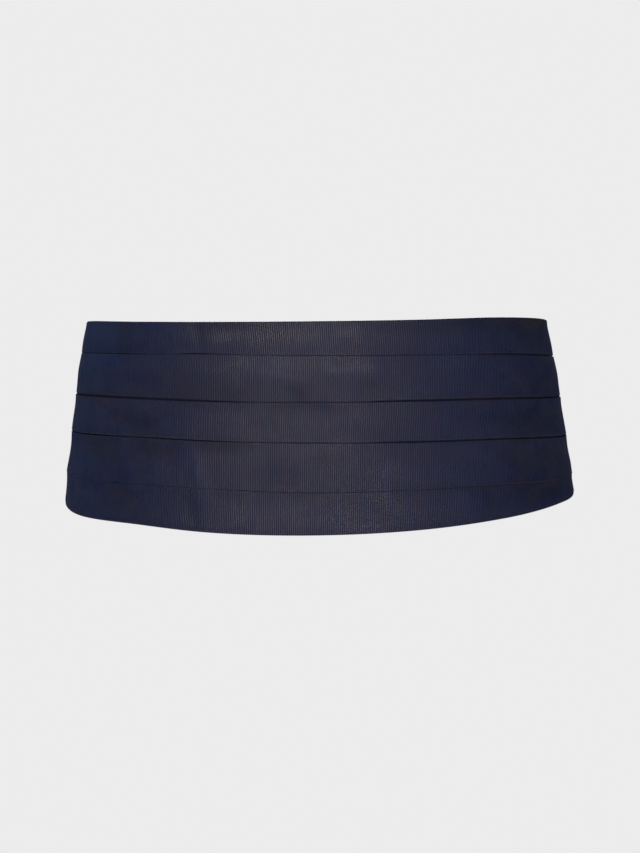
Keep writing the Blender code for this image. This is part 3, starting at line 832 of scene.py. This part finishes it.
def stamped_hook():
    """The line carried up and down as a sheet, cut to the tongue's height and round the slot,
    then given its wall and its rounded edges."""
    along, outward = hook_line()
    bar_end = STRAP_HEIGHT / 2 + BAR_ROOM
    half = np.array((TONGUE_HALF_HEIGHT, bar_end, bar_end + PLATE_BAR))
    high = np.concatenate((-half[::-1], (0.0,), half))
    points = at_back(along[:, None], STRAP_DEPTH + high, outward[:, None])
    row, column = np.meshgrid(np.arange(len(along) - 1), np.arange(len(high) - 1), indexing="ij")
    flat_start = len(along) - FLAT_ROWS
    by_middle = (column == len(half) - 1) | (column == len(half))
    by_end = (column == 0) | (column == len(high) - 2)
    kept = np.where(row < flat_start, by_middle, (row != flat_start + 1) | by_end)
    row, column = row[kept], column[kept]
    corner = row * len(high) + column
    faces = np.stack((corner, corner + 1, corner + len(high) + 1, corner + len(high)), axis=-1)
    used, renumbered = np.unique(faces, return_inverse=True)
    points = points.reshape(-1, 3)[used]
    hook = add_mesh("hook_plate", points, renumbered.reshape(-1, 4).tolist(), None, nickel)
    wall = hook.modifiers.new("wall", "SOLIDIFY")
    wall.thickness = PLATE
    wall.offset = 0.0
    wall.use_even_offset = True
    edges = hook.modifiers.new("tumbled_edges", "BEVEL")
    edges.width = TUMBLED
    edges.segments = 3
    edges.limit_method = "ANGLE"
    edges.angle_limit = math.radians(SHARP_EDGE)
    return hook


hook = stamped_hook()
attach(hook, "root")
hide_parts("strap_hook")

# ---- The sewing -----------------------------------------------------------------------------
# Navy silk thread: a row down each end of the front, which holds the strap inside it, a row along
# both edges of each strap, and one across it that holds its folded end. Each stitch is a short
# length of twisted thread that dips into the cloth at both ends.

STITCH_PITCH = 3.0 * MM
STITCH_LENGTH = 2.4 * MM
STITCH_RADIUS = 0.20 * MM
STITCH_SINK = 0.20 * MM  # how much lower a stitch's ends are than its middle
STITCH_TAPER = 0.5  # share of the radius that its ends lose
STITCH_RINGS = 7
STITCH_AROUND = 8
EDGE_MARGIN = 2.0 * MM  # from a strap's edge to the row along it
END_MARGIN = 4.0 * MM  # from an end of the front, or of the folded strap, to the row there
FACE_STEPS = 40  # points down each band that the rows on the front are laid by
TWIST_PITCH = 0.45 * MM
PLY_HEIGHT = 0.05 * MM
THREAD_ROUGHNESS = 0.62
PLY_GLOSS = 0.10  # what the tops of the plies take off it, and what fuzz changes it by
FUZZ_DULLS = 0.2
FUZZ_TURNS = 900.0  # in a metre
THREAD = (0.0060, 0.0180, 0.0640, 1.0)
THREAD_WORN = (0.0180, 0.0320, 0.0900, 1.0)


def thread_material():
    """Two plies twisted together, by the distances along and round the thread in its UV map."""
    made, shader, start = new_material("navy_sewing_silk")
    place = start.node("ShaderNodeUVMap", {"uv_map": "cloth"})
    run = place.node("ShaderNodeSeparateXYZ", {}, {0: place}, output="X")
    turn = place.node("ShaderNodeSeparateXYZ", {}, {0: place}, output="Y")
    ply = (run * (2.0 * math.pi / TWIST_PITCH) + turn * (2.0 / STITCH_RADIUS)).math("SINE")
    fuzz = start.noise(start.vector(run * FUZZ_TURNS, turn * FUZZ_TURNS, 0.0))
    drive(shader, "Base Color", start.mix(fuzz.clamped(0.4, 0.7), THREAD, THREAD_WORN))
    drive(shader, "Roughness", THREAD_ROUGHNESS - ply * PLY_GLOSS + (fuzz - 0.5) * FUZZ_DULLS)
    shader.inputs["Specular Tint"].default_value = SILK_SHEEN
    drive(shader, "Normal", start.bump(ply, PLY_HEIGHT))
    return made


thread = thread_material()


def stitch_row(cloth_point, start, end):
    """Stitches one after the other. Each is a tube with its middle raised over the cloth and its
    ends sunk by the fourth power of the way there; cloth_point turns a distance along the row,
    one to its side and one off the cloth into a point."""
    count = int(abs(end - start) / STITCH_PITCH)
    middle = start + (np.arange(count) + 0.5) * (end - start) / count
    way = np.linspace(-1.0, 1.0, STITCH_RINGS)[:, None]
    about = np.linspace(0.0, 2 * math.pi, STITCH_AROUND, endpoint=False)
    radius = STITCH_RADIUS * (1.0 - STITCH_TAPER * way**4)
    run = middle[:, None, None] + way * STITCH_LENGTH / 2 + 0.0 * about
    lift = STITCH_RADIUS / 2 - STITCH_SINK * way**4 + radius * np.sin(about)
    points = cloth_point(run, radius * np.cos(about) + 0.0 * run, lift + 0.0 * run)
    thread_place = np.stack((run, about * STITCH_RADIUS + 0.0 * run), axis=-1)
    return points.reshape(-1, 3), thread_place.reshape(-1, 2)


def sewing(side, turn_centre, turn_radius):
    """All rows on one side of the centre back, joined."""
    along, outward = strap_line(turn_centre, turn_radius)
    outer = slice(OUT_POINTS - 1, None, -1)

    def on_strap(at, high, lift):
        """A point off a strap's outer run, whose level is found by its distance."""
        lying = np.interp(at, along[outer], outward[outer]) + STRAP_THICKNESS / 2
        return at_back(side * at, STRAP_DEPTH + high, lying + lift)

    def on_front(depth, beside, lift):
        """A point off the front near its end, whose level is found by its depth."""
        edge = np.full((1, 1), FRONT_HALF_LENGTH - END_MARGIN)
        share = np.linspace(0.0, 1.0, FACE_STEPS)
        faces = [band_face(band, edge, share) for band in range(len(CUT_COLUMNS) - 2)]
        face_outward = np.concatenate([o[0] for o, _ in faces])
        face_depth = np.concatenate([d[0] for _, d in faces])
        girth = side * (FRONT_HALF_LENGTH - END_MARGIN + beside)
        lying = np.interp(depth, face_depth, face_outward) + front_lift(girth)
        return on_waist(girth, depth, lying + creases(girth, depth)[0] + lift)

    first, last = turn_centre + EDGE_MARGIN, half_girth - FRONT_HALF_LENGTH
    row_height = STRAP_HEIGHT / 2 - EDGE_MARGIN
    end_depths = front_edges(np.full((1, 1), FRONT_HALF_LENGTH))
    top, bottom = end_depths[0].item() + EDGE_MARGIN, end_depths[-1].item() - EDGE_MARGIN
    across = RETURN_END - END_MARGIN

    # Each row turns its own distances, along it and beside it, into the strap's.
    def lower_edge(run, beside, lift):
        return on_strap(run, row_height + beside, lift)

    def upper_edge(run, beside, lift):
        return on_strap(run, beside - row_height, lift)

    def folded_end(run, beside, lift):
        return on_strap(across - beside, run, lift)

    rows = (
        stitch_row(lower_edge, first, last),
        stitch_row(upper_edge, first, last),
        stitch_row(folded_end, -row_height, row_height),
        stitch_row(on_front, top, bottom),
    )
    points, places = (np.concatenate(part) for part in zip(*rows))
    one = tube_faces(STITCH_RINGS, STITCH_AROUND)
    if side < 0:
        one = [face[::-1] for face in one]
    step = STITCH_RINGS * STITCH_AROUND
    shifts = range(0, len(points), step)
    faces = [[corner + shift for corner in face] for shift in shifts for face in one]
    word = "left" if side > 0 else "right"
    return add_mesh("sewing_" + word, points, faces, places, thread)


for side, turn_centre, turn_radius in (
    (-1, -EYE_STRAP_BAR, eye_turn),
    (1, hook_turn_centre, hook_turn),
):
    rows = sewing(side, turn_centre, turn_radius)
    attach(rows, "root")

# ---- The studio -----------------------------------------------------------------------------
# A plain pale floor, which throws light up as a studio's white floor does, a soft key lamp above
# the camera with a weaker one on each side, bluish lamps at the sides, one low in front and one
# behind, and the camera. The backdrop is white for the camera and a faint blue for the cloth.

FLOOR_BELOW = 1.05  # metres, as the floor's half width is
FLOOR_HALF = 2.0
FLOOR_GLOW = 0.50
FLOOR_TONES = ((0.20, 0.20, 0.20, 1.0), (0.22, 0.22, 0.22, 1.0))
BACKDROP = (0.8388, 0.8388, 0.8388, 1.0)
WORLD_LIGHT = (0.008, 0.030, 0.105, 1.0)

corners = np.array(((-1.0, -1.0), (1.0, -1.0), (1.0, 1.0), (-1.0, 1.0))) * FLOOR_HALF
floor_points = np.column_stack((corners, np.full(4, -FLOOR_BELOW)))
pale, pale_shader, pale_start = new_material("pale_floor")
pale_cloud = pale_start.noise(pale_start.node("ShaderNodeTexCoord", output="Object"), 3.0)
drive(pale_shader, "Base Color", pale_start.mix(pale_cloud, *FLOOR_TONES))
pale_shader.inputs["Roughness"].default_value = 0.9
pale_shader.inputs["Emission Color"].default_value = (1.0, 1.0, 1.0, 1.0)
pale_shader.inputs["Emission Strength"].default_value = FLOOR_GLOW
floor = add_mesh("floor", floor_points, [(0, 1, 2, 3)], material=pale)

bpy.context.scene.view_settings.view_transform = "Standard"
world = bpy.data.worlds.new("studio")
world.use_nodes = True
bpy.context.scene.world = world
backdrop = Wire(world.node_tree)
seen = backdrop.node("ShaderNodeLightPath", output="Is Camera Ray")
shown = world.node_tree.nodes["Background"]
colour = backdrop.mix(seen, WORLD_LIGHT, BACKDROP)
world.node_tree.links.new(colour.socket, shown.inputs["Color"])
shown.inputs["Strength"].default_value = 1.0

# Name, degrees round from the camera towards +X, degrees up, width and height in metres, watts,
# and the lamp's red, green and blue: daylight at the sides, neutral in front and behind.
LAMPS = (
    ("key", -6.0, 28.0, 0.65, 0.9, 13.6, 1.0, 1.0, 1.0),
    ("right_front", 32.0, 36.0, 0.9, 1.0, 3.8, 1.0, 1.0, 1.0),
    ("left_front", -50.0, 34.0, 0.9, 1.0, 1.8, 0.9, 0.95, 1.0),
    ("right_side", 75.0, 30.0, 1.0, 1.2, 2.2, 0.10, 0.36, 1.0),
    ("left_side", -115.0, 22.0, 1.0, 1.2, 4.6, 0.20, 0.46, 1.0),
    ("low", 0.0, -8.0, 1.2, 0.4, 9.0, 1.0, 1.0, 1.0),
    ("rear", 180.0, 30.0, 1.4, 1.0, 30.0, 1.0, 1.0, 1.0),
)
LAMP_DISTANCE = 2.4
LAMP_TARGET = -0.02  # height of the point that they face
CAMERA_PLACE = (1.25 * MM, -2.10, STRAP_DEPTH)
CAMERA_DOWN = 1.78  # degrees
LENS = 143.8  # millimetres, as the sensor's width is
SENSOR = 36.0


def soft_light(name, turn, rise, width, height, watts, *colour):
    """A rectangular lamp on a sphere round the object, facing its middle."""
    lamp = bpy.data.lights.new(name, "AREA")
    lamp.shape = "RECTANGLE"
    lamp.size, lamp.size_y = width, height
    lamp.energy = watts
    lamp.color = colour
    turn, rise = math.radians(turn), math.radians(rise)
    holder = bpy.data.objects.new(name, lamp)
    level = LAMP_DISTANCE * math.cos(rise)
    up = LAMP_TARGET + LAMP_DISTANCE * math.sin(rise)
    holder.location = (level * math.sin(turn), -level * math.cos(turn), up)
    holder.rotation_euler = (math.pi / 2 - rise, 0.0, turn)
    holder.visible_camera = False
    bpy.context.scene.collection.objects.link(holder)


for lamp_row in LAMPS:
    soft_light(*lamp_row)

lens = bpy.data.cameras.new("camera")
lens.lens = LENS
lens.sensor_width = SENSOR
lens.clip_start = 0.01
camera = bpy.data.objects.new("camera", lens)
camera.location = CAMERA_PLACE
camera.rotation_euler = (math.radians(90.0 - CAMERA_DOWN), 0.0, 0.0)
bpy.context.scene.collection.objects.link(camera)
bpy.context.scene.camera = camera
